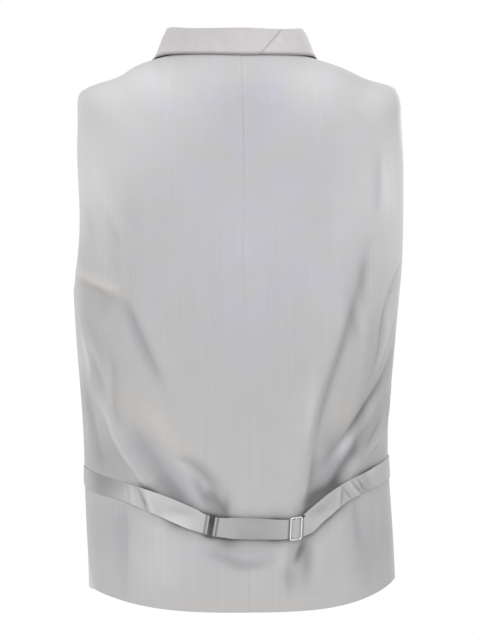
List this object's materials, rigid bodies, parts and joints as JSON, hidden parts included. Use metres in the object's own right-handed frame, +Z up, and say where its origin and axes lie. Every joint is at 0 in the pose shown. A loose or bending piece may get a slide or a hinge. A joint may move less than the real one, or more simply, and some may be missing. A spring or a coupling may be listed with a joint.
{
  "type": "suit waistcoat",
  "caption": "Suit waistcoat in its hollow worn form, with a satin back, a shawl collar, a buttoned front and an adjustable strap across the back waist.",
  "frame": {"origin": "middle of the neck, level with the inner ends of the shoulder seams, where the wearer's shoulders hold the garment", "axes": "+Z up, -Y the way the wearer faces, +X the wearer's left"},
  "size_m": [0.3704, 0.2486, 0.6666],
  "materials": {
    "back_satin": "satin with a faint vertical self stripe",
    "front_suiting": "matt",
    "polished_steel": "polished",
    "button_plastic": "semi-gloss"
  },
  "bodies": {
    "root": {"back_left": "back_satin", "back_right": "back_satin", "front_left": "front_suiting", "front_right": "front_suiting", "collar_left": "front_suiting", "collar_right": "front_suiting", "strap_left": "back_satin", "strap_right": "back_satin", "strap_ring": "polished_steel", "strap_slider": "polished_steel", "button_1": "button_plastic", "button_2": "button_plastic", "button_3": "button_plastic", "button_4": "button_plastic", "button_5": "button_plastic"}
  },
  "joints": []
}
